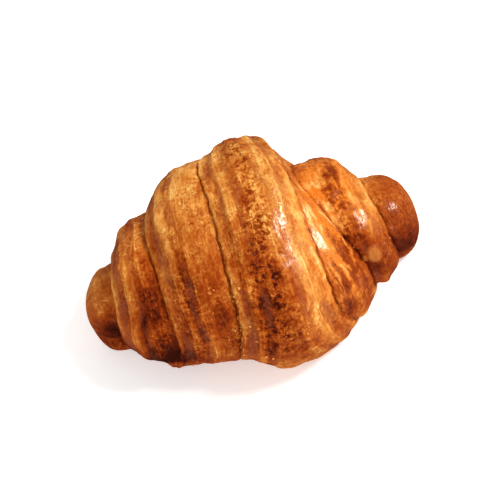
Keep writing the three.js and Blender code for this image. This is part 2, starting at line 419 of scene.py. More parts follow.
# Oval blisters: x in mm, angle in degrees and half width in mm. The ovals run round the roll, and each
# dome falls off from a share of its width outwards.
BLISTERS = [
    (41.9, 121, 3),
    (38.4, 118, 1.2),
    (-45.2, 171, 1.3),
]
BLISTER_LENGTH = 1.35
BLISTER_FLAT = 0.6
# Where loose flakes of the thinnest layers stick, in the form of the lists before
FLAKING = [
    (-12, 95, 8, 14, 1),
    (-12, 130, 6, 14, 0.4),
    (6, 125, 5, 10, 0.1),
    (24, 175, 6, 20, 0.25),
    (30, 140, 8, 12, 0.12),
    (-28, 66, 30, 3, 0.12),
    (26, 60, 22, 3, 0.1),
    (0, 62, 16, 2.5, 0.2),
    (42, 180, 6, 24, 0.2),
]
FLAKING_OFF_SEAMS = 0.12
# Where a seam baked shut and its step melted away
MELTED = [
    (-50, 98, 7, 16, 1),
    (-34, 92, 5, 12, 0.6),
    (27, 82, 5, 9, 0.8),
]
MELT_PASSES = 150
MELTED_SEAM = 0.8
# How strongly the layers show as bands beside each cut edge: a value for each turn of each side
LAYERING = {"left": [0.25, 1.15, 1.0, 0.85], "right": [0.2, 0.6, 0.75, 0.9]}
SOLE_DEGREES = (38.0, 62.0)
# The patterns die out near the mesh's poles, and reaches round it are measured at this radius or more
POLE_RADII = (3, 11)
LEAST_RADIUS = 8
# How wide the patterns take the middle turn to be, the share of it where its halves meet, the x over
# which the layering changes sides, and what sets the right side's patterns apart, in mm
MIDDLE_WIDTH = 28.0
MIDDLE_MEETS = (0.25, 0.75)
SIDES_MEET = (MIDDLE_X - 2, MIDDLE_X + 6)
SIDE_OFFSET = 200.0
LEAST_WIDTH = 1


def add_object(name, data):
    made = bpy.data.objects.new(name, data)
    bpy.context.scene.collection.objects.link(made)
    return made


def round_distance(angle, place_angle, radius):
    """Distance round the crust from a place's angle in degrees, in mm."""
    return np.radians(np.degrees(angle) - place_angle) * np.maximum(radius, LEAST_RADIUS)


def painted(places, x, angle, radius):
    """Sum of soft patches on the crust, in the form of the lists above."""
    total = np.zeros_like(x)
    for place_x, place_angle, reach_x, reach_round, amount in places:
        off_round = round_distance(angle, place_angle, radius)
        total += amount * bell((x - place_x) / reach_x) * bell(off_round / reach_round)
    return total


def painted_share(places, x, angle, radius):
    """The same, held between 0 and 1."""
    return np.clip(painted(places, x, angle, radius), 0, 1)


def blister_domes(x, angle, radius):
    """Height of the blisters, 1 at the middle of each."""
    dome = np.zeros_like(x)
    for place_x, place_angle, size in BLISTERS:
        off_round = round_distance(angle, place_angle, radius) / BLISTER_LENGTH
        dome += 1 - smoothstep(BLISTER_FLAT * size, size, np.hypot(x - place_x, off_round))
    return dome


# The crust's radius on the mesh's columns and rings, and the grooves in its base
angles = np.arange(COLUMNS)[:, None] * FULL_TURN / COLUMNS
rings_x = ring_places(angles)
radius, inset, number, width, seam, relief = crust_both(angles, rings_x)
melted = painted_share(MELTED, rings_x, angles, radius)
smoothed = radius.copy()
for _ in range(MELT_PASSES):
    smoothed[:, 1:-1] = (smoothed[:, :-2] + 2 * smoothed[:, 1:-1] + smoothed[:, 2:]) / 4
radius = lerp(radius, smoothed, melted)
seam = seam * (1 - MELTED_SEAM * melted)
share = angles / FULL_TURN
groove = np.zeros_like(rings_x)
for side in END:
    on_side = (rings_x < MIDDLE_X) == (side == "left")
    for k, is_open in enumerate(seam_opening(share)):
        off = np.abs(rings_x - MIDDLE_X) - edge[side](k + 1 + share)
        depth = GROOVE_DEPTH * is_open * bell(off / GROOVE_WIDTH) * (1 - relief)
        groove = np.maximum(groove, np.where(on_side, depth, 0))

points = crust_points(rings_x, angles, radius, groove).reshape(-1, 3)
pole_x = np.array([MIDDLE_X - END["left"], MIDDLE_X + END["right"]])
poles = crust_points(pole_x, np.zeros(2), np.zeros(2), np.zeros(2))
points = np.concatenate([points, poles])
low, high = points.min(axis=0), points.max(axis=0)
points -= [(low[0] + high[0]) / 2, (low[1] + high[1]) / 2, 0]

# Places for the patterns: along the strip of dough, and across it from the left cut edge, in mm
along = strip_length(number)
left_of = rings_x < MIDDLE_X
middle_turn = number >= TIP_TURN - 1
left_edge = MIDDLE_X - edge["left"](TIP_TURN - 1 + share)
right_edge = MIDDLE_X + edge["right"](TIP_TURN - 1 + share)
middle_span = right_edge - left_edge
middle_share = np.clip((rings_x - left_edge) / middle_span, 0, 1)
middle_strip = rings_x - left_edge - (middle_span - MIDDLE_WIDTH) * smoothstep(*MIDDLE_MEETS, middle_share)
strip = np.where(middle_turn, middle_strip, np.where(left_of, inset, SIDE_OFFSET + inset))
inset = np.where(middle_turn, np.minimum(rings_x - left_edge, right_edge - rings_x), inset)
width = np.where(middle_turn, middle_span / 2, width)
turn = np.clip(number.astype(int), 0, TIP_TURN - 1)
by_side = {side: np.array(values)[turn] for side, values in LAYERING.items()}
layering = lerp(by_side["left"], by_side["right"], smoothstep(*SIDES_MEET, rings_x))
crust_places = (rings_x, angles, radius)

surface = {
    "along": along,
    "strip": strip,
    "inset": inset,
    "inset_share": np.clip(inset / np.maximum(width, LEAST_WIDTH), 0, 1),
    "layering": layering,
    # Where the seams gape: this calms the relief there, and the crust's colour darkens there with painted
    # shade
    "seam": seam * relief,
    "sole": 1 - smoothstep(*SOLE_DEGREES, degrees_from_base(angles)) + 0 * rings_x,
    "polar": 1 - smoothstep(*POLE_RADII, radius),
    "browning": painted(BROWNING, *crust_places),
    "blistering": painted_share(BLISTERING, *crust_places),
    "islands": painted_share(ISLANDS, *crust_places),
    "gloss": painted_share(GLOSS, *crust_places),
    "smooth": painted_share(SMOOTH, *crust_places),
    "blister": blister_domes(*crust_places),
    "flaking": painted(FLAKING, *crust_places) * np.maximum(seam * relief, FLAKING_OFF_SEAMS),
}

column = np.arange(COLUMNS)[:, None] * RINGS
after = np.roll(np.arange(COLUMNS), -1)[:, None] * RINGS
ring = np.arange(RINGS - 1)[None, :]
quads = np.stack([column + ring, column + ring + 1, after + ring + 1, after + ring], axis=-1).reshape(-1, 4)
left_pole = COLUMNS * RINGS
right_pole = left_pole + 1
here, there = column[:, 0], after[:, 0]
left_fan = np.stack([np.full(COLUMNS, left_pole), here, there], axis=-1)
right_fan = np.stack([np.full(COLUMNS, right_pole), there + RINGS - 1, here + RINGS - 1], axis=-1)
dough = bpy.data.meshes.new("rolled_dough")
dough.from_pydata((points * MM).tolist(), [], quads.tolist() + left_fan.tolist() + right_fan.tolist())
dough.shade_smooth()
for name, values in surface.items():
    at_poles = [values[:, 0].mean(), values[:, -1].mean()]
    layer = dough.attributes.new(name, "FLOAT", "POINT")
    layer.data.foreach_set("value", np.concatenate([values.ravel(), at_poles]).astype(np.float32))
croissant = add_object("croissant_crust", dough)


# The baked surface
# Baking lifts the layers at each cut edge into fine lips, raises blisters on the glazed crests and
# dries the skin into wrinkles. One Geometry Nodes tree moves the surface by these, in metres.
class NodeWriter:
    """Adds linked nodes to a tree in short calls. A number or a socket may be given as any value."""

    def __init__(self, tree):
        self.tree = tree

    def add(self, kind, values=None, **settings):
        node = self.tree.nodes.new(kind)
        for name, setting in settings.items():
            setattr(node, name, setting)
        for key, value in (values or {}).items():
            socket = node.inputs[key]
            if isinstance(value, bpy.types.NodeSocket):
                self.tree.links.new(value, socket)
            else:
                socket.default_value = value
        return node

    def math(self, operation, *values, clamp=False):
        node = self.add("ShaderNodeMath", dict(enumerate(values)), operation=operation, use_clamp=clamp)
        return node.outputs[0]

    def rest(self, value):
        """What a share leaves of 1."""
        return self.math("SUBTRACT", 1.0, value, clamp=True)

    def add_up(self, *values):
        total = values[0]
        for value in values[1:]:
            total = self.math("ADD", total, value)
        return total

    def times(self, *values):
        total = values[0]
        for value in values[1:]:
            total = self.math("MULTIPLY", total, value)
        return total

    def ramp(self, value, low, high, to_low=0.0, to_high=1.0):
        ends = {"Value": value, "From Min": low, "From Max": high, "To Min": to_low, "To Max": to_high}
        return self.add("ShaderNodeMapRange", ends, interpolation_type="SMOOTHSTEP").outputs[0]

    def vector(self, x, y, z=0.0):
        return self.add("ShaderNodeCombineXYZ", {"X": x, "Y": y, "Z": z}).outputs[0]

    def noise(self, vector, scale=1.0, detail=2.0, roughness=0.5, distortion=0.0):
        values = {"Vector": vector, "Scale": scale, "Detail": detail, "Roughness": roughness}
        values["Distortion"] = distortion
        return self.add("ShaderNodeTexNoise", values).outputs["Fac"]

    def cells(self, vector, scale, feature, **values):
        values.update({"Vector": vector, "Scale": scale})
        return self.add("ShaderNodeTexVoronoi", values, feature=feature).outputs["Distance"]


# Patterns drawn out along the strip: the length and width of a feature, in mm
STRIP_SIZES = {
    "band warp": (12.0, 7.0),
    "streak warp": (6.0, 4.0),
    "streaks": (13.0, 2.1),
    "island warp": (7.0, 4.0),
    "islands": (26.0, 4.4),
    "cracks": (6.0, 6.0),
    "grain": (8.0, 2.6),
    "hairs": (6.0, 0.7),
    "glazed patches": (14.0, 5.0),
}
# Patterns through the crust: features to a metre, detail, roughness and distortion
NOISES = {
    "swell": (75.0, 1.5, 0.5, 0.0),
    "wrinkle": (260.0, 1.0, 0.5, 0.0),
    "crumbs": (620.0, 2.0, 0.6, 0.35),
    "clumps": (190.0, 2.0, 0.6, 0.0),
    "broad": (45.0, 2.0, 0.5, 0.0),
    "mottle": (170.0, 4.0, 0.62, 0.0),
    "fine": (420.0, 1.5, 0.6, 0.6),
    "speckle": (850.0, 1.0, 0.5, 0.0),
    "patches": (110.0, 2.0, 0.5, 0.0),
}
# Values of a noise between which a pattern comes in
COMES_IN = {
    "bands": (0.36, 0.6),
    "crumbs": (0.4, 0.58),
    "clumps": (0.4, 0.54),
    "cracks": (0.36, 0.56),
    "patches": (0.42, 0.58),
    "glazed patches": (0.45, 0.6),
}
NOISE_MEAN = 0.5


def strip_vector(w, along, strip, pattern, seed):
    """A place in a pattern that is drawn out along the strip."""
    length, width = STRIP_SIZES[pattern]
    return w.vector(w.math("DIVIDE", along, length), w.math("DIVIDE", strip, width), seed)


def signed(w, value, amount=1.0):
    """A noise from 0 to 1, turned into one from -amount to +amount."""
    return w.times(w.math("SUBTRACT", value, NOISE_MEAN), 2 * amount)


# Bands beside each cut edge: distance from the edge and half width in mm, and +1 for a bare lip of a
# layer or -1 for the glazed band between two lips
BANDS = [(0.5, 1.0, 1.0), (3.4, 1.9, -0.8), (6.9, 1.4, 0.85), (10.0, 1.8, -0.6), (13.2, 1.3, 0.5)]
# How far a band wanders and how long its runs are, in mm, what is left of it between them, how far it
# fades out past its half width, and what sets its noise apart from the next one's
BAND_WARP = 1.5
BAND_RUN = 17.0
BAND_FAINTEST = 0.3
BAND_FADE = 1.5
BAND_APART = 5.0
# The rim of a lip: its width in mm, and its distance from the lip's middle in half widths
RIM_WIDTH = 0.5
RIM_PLACE = 0.8


def edge_bands(w, along, inset, layering, seed):
    """The bands, each of which comes and goes along the strip and wanders a little, and with them the
    thin crisp rims at the outer edge of each bare lip."""
    warp = signed(w, w.noise(strip_vector(w, along, inset, "band warp", seed), detail=3.0), BAND_WARP)
    place = w.math("ADD", inset, warp)
    bands, rims = 0.0, 0.0
    for number, (middle, half_width, amount) in enumerate(BANDS):
        run = w.vector(w.math("DIVIDE", along, BAND_RUN), BAND_APART * number, seed)
        strength = w.ramp(w.noise(run, detail=1.5), *COMES_IN["bands"], BAND_FAINTEST, 1.0)
        off = w.math("SUBTRACT", place, middle)
        band = w.ramp(w.math("ABSOLUTE", off), 0.0, BAND_FADE * half_width, 1.0, 0.0)
        bands = w.add_up(bands, w.times(band, strength, amount))
        if amount > 0:
            at_rim = w.math("ABSOLUTE", w.math("ADD", off, RIM_PLACE * half_width))
            rims = w.add_up(rims, w.times(w.ramp(at_rim, 0.0, RIM_WIDTH, 1.0, 0.0), strength))
    return w.times(bands, layering), w.times(rims, layering)


STREAK_WARP = 0.9
STREAK_STRENGTH = 1.2
STREAK_SEED = 7.0
STREAKS_FADE = (0.45, 0.95)
STREAKS_FAINTEST = 0.3


def ply_streaks(w, along, strip, seed, detail):
    """Streaks of the layers along the strip, from -1 to 1, broken into short runs."""
    warp = w.noise(strip_vector(w, along, strip, "streak warp", seed), detail=detail)
    place = w.math("ADD", strip, signed(w, warp, STREAK_WARP))
    streaks = w.noise(strip_vector(w, along, place, "streaks", seed + STREAK_SEED), detail=detail)
    return signed(w, streaks, STREAK_STRENGTH)


def streak_reach(w, inset_share):
    """Where the streaks show: strong at the cut edge, fading over the crest."""
    return w.ramp(inset_share, *STREAKS_FADE, 1.0, STREAKS_FAINTEST)


def crumbs(w, place):
    """Torn crumbly crust, from 0 in the recesses of 1 to 2 mm to 1 on the tops between them."""
    return w.ramp(w.noise(place, *NOISES["crumbs"]), *COMES_IN["crumbs"])


def crumb_clumps(w, place):
    """Where the crumbs gather in clumps, from 0 to 1."""
    return w.ramp(w.noise(place, *NOISES["clumps"]), *COMES_IN["clumps"])


def filaments(w, place, scale, thin):
    """Thin wandering lines, 1 on a line: the edges of the finest layers, which lift and turn pale."""
    field = w.noise(place, scale=scale, detail=2.5, roughness=0.6, distortion=0.5)
    off = w.math("ABSOLUTE", w.math("SUBTRACT", field, NOISE_MEAN))
    return w.ramp(off, 0.0, thin, 1.0, 0.0)


ISLAND_WARP = 3.0
CRACK_WIDTH = 0.13
CRACK_SEED = 4.0


def island_cracks(w, along, strip, seed):
    """Cracks between the glazed islands, 1 on a crack."""
    warp = w.noise(strip_vector(w, along, strip, "island warp", seed), detail=3.0)
    warped = w.math("ADD", strip, w.times(warp, ISLAND_WARP))
    place = strip_vector(w, along, warped, "islands", seed)
    runs = w.noise(strip_vector(w, along, strip, "cracks", seed + CRACK_SEED), detail=1.5)
    cracks = w.ramp(w.cells(place, 1.0, "DISTANCE_TO_EDGE"), 0.0, CRACK_WIDTH, 1.0, 0.0)
    return w.times(cracks, w.ramp(runs, *COMES_IN["cracks"]))


SURFACE_SIZES = {
    "Lip height": 0.34 * MM,
    "Rim height": 0.18 * MM,
    "Streak height": 0.14 * MM,
    "Crumb height": 0.6 * MM,
    "Crack depth": 0.22 * MM,
    "Wrinkle height": 0.35 * MM,
    "Swell height": 0.6 * MM,
    "Blister height": 0.75 * MM,
}
SURFACE_SEED = 11.0
# Detail of the streaks: coarse in the mesh, fine in the material
COARSE = 0.5
FINE = 2.5


def start_tree(name, sizes):
    """A tree with a mesh, these sizes and a material for its inputs, and what writes its nodes."""
    tree = bpy.data.node_groups.new(name, "GeometryNodeTree")
    tree.interface.new_socket("Geometry", in_out="OUTPUT", socket_type="NodeSocketGeometry")
    kinds = {size: "Int" if isinstance(value, int) else "Float" for size, value in sizes.items()}
    for socket, kind in {"Geometry": "Geometry", **kinds, "Material": "Material"}.items():
        tree.interface.new_socket(socket, in_out="INPUT", socket_type="NodeSocket" + kind)
    w = NodeWriter(tree)
    return w, w.add("NodeGroupInput").outputs


def finish_tree(w, geometry, given):
    """Gives the mesh its material and hands it out."""
    finished = w.add("GeometryNodeSetMaterial", {"Geometry": geometry, "Material": given["Material"]})
    w.add("NodeGroupOutput", {"Geometry": finished.outputs[0]})
    return w.tree


def mesh_layer(w, name):
    """The values of a named attribute of the mesh."""
    node = w.add("GeometryNodeInputNamedAttribute", {"Name": name}, data_type="FLOAT")
    return node.outputs["Attribute"]


def surface_tree():
    """The tree that moves the crust's surface along its normals."""
    w, given = start_tree("baked_surface", SURFACE_SIZES)

    def layer(name):
        return mesh_layer(w, name)

    along, strip, share = layer("along"), layer("strip"), layer("inset_share")
    calm = w.rest(w.math("MAXIMUM", layer("seam"), layer("polar")))
    position = w.add("GeometryNodeInputPosition").outputs[0]
    bands, rims = edge_bands(w, along, layer("inset"), layer("layering"), SURFACE_SEED)
    streaks = w.times(ply_streaks(w, along, strip, SURFACE_SEED, COARSE), streak_reach(w, share))
    clumps = w.times(crumb_clumps(w, position), layer("blistering"))
    pits = w.times(w.math("SUBTRACT", crumbs(w, position), NOISE_MEAN), clumps)
    cracks = w.times(island_cracks(w, along, strip, SURFACE_SEED), layer("islands"))
    wrinkle = signed(w, w.noise(position, *NOISES["wrinkle"]))
    swell = signed(w, w.noise(position, *NOISES["swell"]))
    height = w.add_up(
        w.times(bands, given["Lip height"]),
        w.times(rims, given["Rim height"]),
        w.times(streaks, given["Streak height"]),
        w.times(pits, given["Crumb height"]),
        w.times(cracks, w.times(given["Crack depth"], -1.0)),
        w.times(wrinkle, given["Wrinkle height"]),
        w.times(swell, given["Swell height"]),
        w.times(layer("blister"), given["Blister height"]),
    )
    height = w.times(height, w.rest(layer("sole")), calm)
    normal = w.add("GeometryNodeInputNormal").outputs[0]
    offset = w.add("ShaderNodeVectorMath", {0: normal, "Scale": height}, operation="SCALE")
    moved = w.add("GeometryNodeSetPosition", {"Geometry": given["Geometry"], "Offset": offset.outputs[0]})
    realized = w.add("GeometryNodeRealizeInstances", {"Geometry": moved.outputs[0]})
    return finish_tree(w, realized.outputs[0], given)


def apply_tree(piece, tree, values):
    """Runs a tree on the piece with these inputs and keeps the result as its plain mesh."""
    modifier = piece.modifiers.new(tree.name, "NODES")
    modifier.node_group = tree
    for item in tree.interface.items_tree:
        if item.item_type == "SOCKET" and item.in_out == "INPUT" and item.name in values:
            modifier[item.identifier] = values[item.name]
    depsgraph = bpy.context.evaluated_depsgraph_get()
    result = bpy.data.meshes.new_from_object(
        piece.evaluated_get(depsgraph), preserve_all_data_layers=True, depsgraph=depsgraph
    )
    piece.modifiers.remove(modifier)
    piece.data = result


# Painted shade darkens the seams and the recesses between the crumbs, and painted light pales the crumbs'
# tops.
# The crust
# The crust browned through an egg glaze: nearly black at the burnt ends, red-brown on the blistered
# crests, orange on the islands, and pale gold at the lips, where the layers split and took no glaze.
# Colours of the crust by its tone
BROWNS = [
    (0.00, (0.042, 0.004, 0.0001)),
    (0.16, (0.14, 0.014, 0.0002)),
    (0.34, (0.30, 0.047, 0.002)),
    (0.50, (0.45, 0.117, 0.015)),
    (0.64, (0.61, 0.225, 0.039)),
    (0.80, (0.78, 0.40, 0.10)),
    (1.00, (0.91, 0.65, 0.28)),
]
MIDDLE_TONE = 0.465
# How much each pattern pales (+) or darkens (-) the crust
TONES = {
    "broad": 0.12,
    "mottle": 0.14,
    "grain": 0.17,
    "fine": 0.13,
    "speckle": 0.12,
    "streaks": 0.12,
    "hairs": 0.16,
    "craze": -0.16,
    "bands": 0.14,
    "rims": 0.13,
    "browning": 0.30,
    "cracks": 0.34,
    # Painted shade in the recesses between the crumbs
    "pits": -0.25,
    # Painted light on the crumbs' tops
    "crumb_tops_painted_light": 0.07,
    "skins": 0.12,
    # Painted shade in the seams
    "seam": -0.10,
    "sole": -0.10,
}
# How much each pattern raises the crust, and the film of glaze on it
BUMPS = {
    "streaks": 0.35,
    "hairs": 0.5,
    "speckle": 0.4,
    "fine": 0.6,
    "skins": 0.5,
    "mottle": 0.4,
    "crumbs": 1.0,
}
FILM_BUMPS = {"hairs": 0.5, "fine": 0.5, "craze": -0.6, "crumbs": 0.3}
# How rough the crust is, and how much each pattern roughens it
ROUGHNESS = 0.62
ROUGHENS = {"lips": 0.15, "speckle": 0.1, "sole": 0.2}
# The weight of the glaze everywhere, what the glazed bands add, and how far a crazed line dulls it
THIN_GLAZE = 0.02
BAND_GLAZE = 0.06
CRAZE_DULLS = 0.5
# Thin pale lines and crazed lines: features to a metre and thinness
SKINS = [(300.0, 0.05), (480.0, 0.07)]
CRAZE = (520.0, 0.05)
SMOOTHING = 0.65
# Colours of the glazed bands, the islands and a blister, how far each covers the browned crust, the
# tones between which an island's colour comes in, and the strength of the dark ring round a blister
GLAZED_BAND = (0.27, 0.072, 0.03, 1.0)
ISLAND_GLAZE = (0.78, 0.19, 0.010, 1.0)
BLISTER_SKIN = (0.54, 0.18, 0.035, 1.0)
BLISTER_RING = (0.30, 0.047, 0.002, 1.0)
COVER = 0.75
ISLAND_TONES = (0.35, 0.55)
RING_STRENGTH = 2.2
# What shifts the grain, the hairs and the glazed patches apart: warps in mm, and steps of the seed
GRAIN_WARP, GRAIN_SEED = 3.0, 8
HAIR_WARP, HAIR_SEED = 0.8, 3
PATCH_SEED = 5


def weighted(w, parts, weights):
    """Sum of the parts, each times its weight."""
    return w.add_up(*(w.times(parts[name], weight) for name, weight in weights.items()))


def start_material(name):
    """A material with no nodes yet, and what writes them."""
    material = bpy.data.materials.new(name)
    material.use_nodes = True
    material.node_tree.nodes.clear()
    return material, NodeWriter(material.node_tree)


def finish_material(w, values):
    shader = w.add("ShaderNodeBsdfPrincipled", values)
    w.add("ShaderNodeOutputMaterial", {"Surface": shader.outputs[0]})


def crust_material():
    material, w = start_material("crust")

    def layer(name):
        return w.add("ShaderNodeAttribute", attribute_name=name).outputs["Fac"]

    def covered(under, share, over):
        """A colour over another, by a share."""
        return w.add("ShaderNodeMix", {0: share, 6: under, 7: over}, data_type="RGBA").outputs[2]

    along, strip, share = layer("along"), layer("strip"), layer("inset_share")
    place = w.add("ShaderNodeTexCoord").outputs["Object"]
    blistering, gloss, sole, seam = layer("blistering"), layer("gloss"), layer("sole"), layer("seam")
    islands, blister = layer("islands"), layer("blister")
    calm = w.rest(layer("polar"))
    rugged = w.rest(w.times(layer("smooth"), SMOOTHING))
    dry = w.rest(w.math("MAXIMUM", gloss, islands))

    bands, rims = edge_bands(w, along, layer("inset"), layer("layering"), SURFACE_SEED)
    bands, rims = w.times(bands, calm), w.times(rims, calm)
    lips = w.math("MAXIMUM", bands, 0.0)
    glazed = w.math("MAXIMUM", w.times(bands, -1.0), 0.0)
    streaks = w.times(ply_streaks(w, along, strip, SURFACE_SEED, FINE), streak_reach(w, share), calm)
    clumps = w.times(crumb_clumps(w, place), blistering)
    crumb = crumbs(w, place)
    # Painted shade in the recesses between the crumbs
    pits = w.times(w.rest(crumb), clumps)
    # Painted light on the crumbs' tops
    crumb_tops_painted_light = w.times(crumb, crumb, clumps)
    cracks = w.times(island_cracks(w, along, strip, SURFACE_SEED), islands, calm)
    broad, mottle, fine, speckle = (
        signed(w, w.noise(place, *NOISES[name])) for name in ("broad", "mottle", "fine", "speckle")
    )
    grain = w.math("ADD", strip, w.times(broad, GRAIN_WARP))
    grain = strip_vector(w, along, grain, "grain", SURFACE_SEED + GRAIN_SEED)
    grain = w.times(signed(w, w.noise(grain, detail=3.0, roughness=0.6)), calm)
    hairs = w.math("ADD", strip, w.times(mottle, HAIR_WARP))
    hairs = strip_vector(w, along, hairs, "hairs", SURFACE_SEED + HAIR_SEED)
    hairs = w.times(signed(w, w.noise(hairs, detail=2.0, roughness=0.6)), calm)
    patches = w.ramp(w.noise(place, *NOISES["patches"]), *COMES_IN["patches"])
    skins = w.add_up(*(filaments(w, place, scale, thin) for scale, thin in SKINS))
    skins = w.times(skins, patches, dry)
    craze = w.times(filaments(w, place, *CRAZE), gloss)

    tone = w.add_up(MIDDLE_TONE, weighted(w, {
        "broad": broad,
        "mottle": w.times(mottle, rugged),
        "grain": w.times(grain, rugged),
        "fine": w.times(fine, rugged),
        "speckle": speckle,
        "streaks": w.times(streaks, rugged),
        "hairs": w.times(hairs, rugged),
        "craze": craze,
        "bands": bands,
        "rims": rims,
        "browning": layer("browning"),
        "cracks": cracks,
        # Painted shade in the crumb recesses, and painted light on the crumb tops
        "pits": pits,
        "crumb_tops_painted_light": crumb_tops_painted_light,
        "skins": skins,
        # Painted shade in the seams
        "seam": seam,
        "sole": sole,
    }, TONES))
    ramp = w.add("ShaderNodeValToRGB", {"Fac": tone})
    stops = ramp.color_ramp.elements
    for place_on_ramp, _ in BROWNS[1:-1]:
        stops.new(place_on_ramp)
    for stop, (place_on_ramp, brown) in zip(stops, BROWNS):
        stop.position = place_on_ramp
        stop.color = (*brown, 1.0)
    patch = strip_vector(w, along, strip, "glazed patches", SURFACE_SEED + PATCH_SEED)
    patch = w.ramp(w.noise(patch, detail=3.0), *COMES_IN["glazed patches"])
    patch = w.math("MULTIPLY", w.times(patch, glazed), COVER, clamp=True)
    colour = covered(ramp.outputs["Color"], patch, GLAZED_BAND)
    island = w.times(islands, w.rest(cracks), w.ramp(tone, *ISLAND_TONES), COVER)
    colour = covered(colour, island, ISLAND_GLAZE)
    colour = covered(colour, w.times(blister, COVER), BLISTER_SKIN)
    ring = w.times(w.rest(blister), blister, RING_STRENGTH)
    colour = covered(colour, ring, BLISTER_RING)

    raised = {
        "streaks": streaks,
        "hairs": hairs,
        "speckle": speckle,
        "fine": w.times(fine, rugged),
        "skins": skins,
        "mottle": mottle,
        "crumbs": w.times(crumb, clumps),
    }
    height = weighted(w, raised, BUMPS)
    bump = w.add("ShaderNodeBump", {"Strength": 0.65, "Distance": 0.35 * MM, "Height": height})
    height = weighted(w, {**raised, "fine": fine, "craze": craze}, FILM_BUMPS)
    film = w.add("ShaderNodeBump", {"Strength": 0.5, "Distance": 0.2 * MM, "Height": height})
    whole = w.rest(w.math("MAXIMUM", pits, w.times(craze, CRAZE_DULLS)))
    glaze = w.add_up(THIN_GLAZE, w.times(gloss, whole), w.times(glazed, BAND_GLAZE))
    rough = w.add_up(ROUGHNESS, weighted(w, {"lips": lips, "speckle": speckle, "sole": sole}, ROUGHENS))
    finish_material(w, {
        "Base Color": colour,
        "Roughness": rough,
        "Normal": bump.outputs[0],
        "Coat Weight": w.math("MINIMUM", glaze, 1.0),
        "Coat Normal": film.outputs[0],
        "Coat Roughness": 0.2,
        "Coat IOR": 1.55,
        "Specular IOR Level": 0.04,
    })
    return material


apply_tree(croissant, surface_tree(), {**SURFACE_SIZES, "Material": crust_material()})
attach(croissant, "root")
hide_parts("croissant")


# The loose flakes
# Curled shards of the thinnest outer layers, a tenth of a millimetre thick. They cracked off as the
# croissant cooled and stick where they fell, mostly in the seams and along the bottom edge.
# What each flake measures before it's scaled, how far its edges wander, and how closely the flakes lie
FLAKE_SIZES = {
    "Length": 1.4 * MM,
    "Width": 0.9 * MM,
    "Thickness": 0.1 * MM,
    "Curl": 0.18 * MM,
    "Ragged": 0.35 * MM,
    "Flakes per square metre": 260000.0,
    "Seed": 7,
}
FLAKE_VERTICES = (7, 4)
FLAKE_TAPER = 0.55
FLAKE_WELD = 0.005 * MM
# The least and the most that a flake is scaled by, how far it's turned, in radians, and the features of
# the wandering edges and of the browning, to a metre
FLAKE_LEAST = (0.35, 0.4, 0.8)
FLAKE_MOST = (1.15, 1.1, 1.6)
FLAKE_TILT = (0.35, 0.35, np.pi)
RAGGED_SCALE = 900.0
BROWNED_SCALE = 600.0
FLAKE_PALE = (0.80, 0.34, 0.08, 1.0)
FLAKE_BROWN = (0.42, 0.10, 0.01, 1.0)


def flakes_tree():
    """The tree that strews one curled, tapered shell over the crust."""
    w, given = start_tree("loose_flakes", FLAKE_SIZES)

    def chance(low, high, seed, data_type="FLOAT_VECTOR"):
        """A random value for each flake. The node's sockets for numbers follow those for vectors."""
        first = 0 if data_type == "FLOAT_VECTOR" else 2
        ends = {first: low, first + 1: high, "Seed": seed}
        return w.add("FunctionNodeRandomValue", ends, data_type=data_type).outputs[first // 2]

    grid = w.add("GeometryNodeMeshGrid", {"Size X": given["Length"], "Size Y": given["Width"]})
    grid.inputs["Vertices X"].default_value, grid.inputs["Vertices Y"].default_value = FLAKE_VERTICES
    at = w.add("ShaderNodeSeparateXYZ", {0: w.add("GeometryNodeInputPosition").outputs[0]}).outputs
    out = w.math("DIVIDE", w.math("MULTIPLY", at["X"], 2.0), given["Length"])
    out = w.times(out, out)
    narrowed = w.times(at["Y"], w.rest(w.times(out, FLAKE_TAPER)))
    curled = w.add("GeometryNodeSetPosition", {
        "Geometry": grid.outputs["Mesh"],
        "Position": w.vector(at["X"], narrowed, w.times(out, given["Curl"])),
    }).outputs[0]
    thick = {"Offset Scale": given["Thickness"], "Individual": False}
    top = w.add("GeometryNodeExtrudeMesh", {"Mesh": curled, **thick})
    under = w.add("GeometryNodeFlipFaces", {"Mesh": curled})
    both = w.add("GeometryNodeJoinGeometry", {0: top.outputs["Mesh"]})
    w.tree.links.new(under.outputs[0], both.inputs[0])
    shell = w.add("GeometryNodeMergeByDistance", {"Geometry": both.outputs[0], "Distance": FLAKE_WELD})

    points = w.add("GeometryNodeDistributePointsOnFaces", {
        "Mesh": given["Geometry"],
        "Density": w.times(mesh_layer(w, "flaking"), given["Flakes per square metre"]),
        "Seed": given["Seed"],
    })
    tilt = chance([-t for t in FLAKE_TILT], FLAKE_TILT, 1)
    turns = {0: points.outputs["Rotation"], 1: w.add("FunctionNodeEulerToRotation", {0: tilt}).outputs[0]}
    turned = w.add("FunctionNodeRotateRotation", turns, rotation_space="LOCAL")
    flakes = w.add("GeometryNodeInstanceOnPoints", {
        "Points": points.outputs["Points"],
        "Instance": shell.outputs[0],
        "Rotation": turned.outputs[0],
        "Scale": chance(FLAKE_LEAST, FLAKE_MOST, 2),
    })
    tone = {"Geometry": flakes.outputs[0], "Name": "tone", "Value": chance(0.0, 1.0, 3, "FLOAT")}
    toned = w.add("GeometryNodeStoreNamedAttribute", tone, data_type="FLOAT", domain="INSTANCE")
    realized = w.add("GeometryNodeRealizeInstances", {"Geometry": toned.outputs[0]})
    position = w.add("GeometryNodeInputPosition").outputs[0]
    noise = w.add("ShaderNodeTexNoise", {"Vector": position, "Scale": RAGGED_SCALE}).outputs["Color"]
    wander = w.add("ShaderNodeVectorMath", {0: noise, 1: (NOISE_MEAN,) * 3}, operation="SUBTRACT").outputs[0]
    wander = w.add("ShaderNodeVectorMath", {0: wander, "Scale": given["Ragged"]}, operation="SCALE")
    ragged = w.add("GeometryNodeSetPosition", {"Geometry": realized.outputs[0], "Offset": wander.outputs[0]})
    return finish_tree(w, ragged.outputs[0], given)


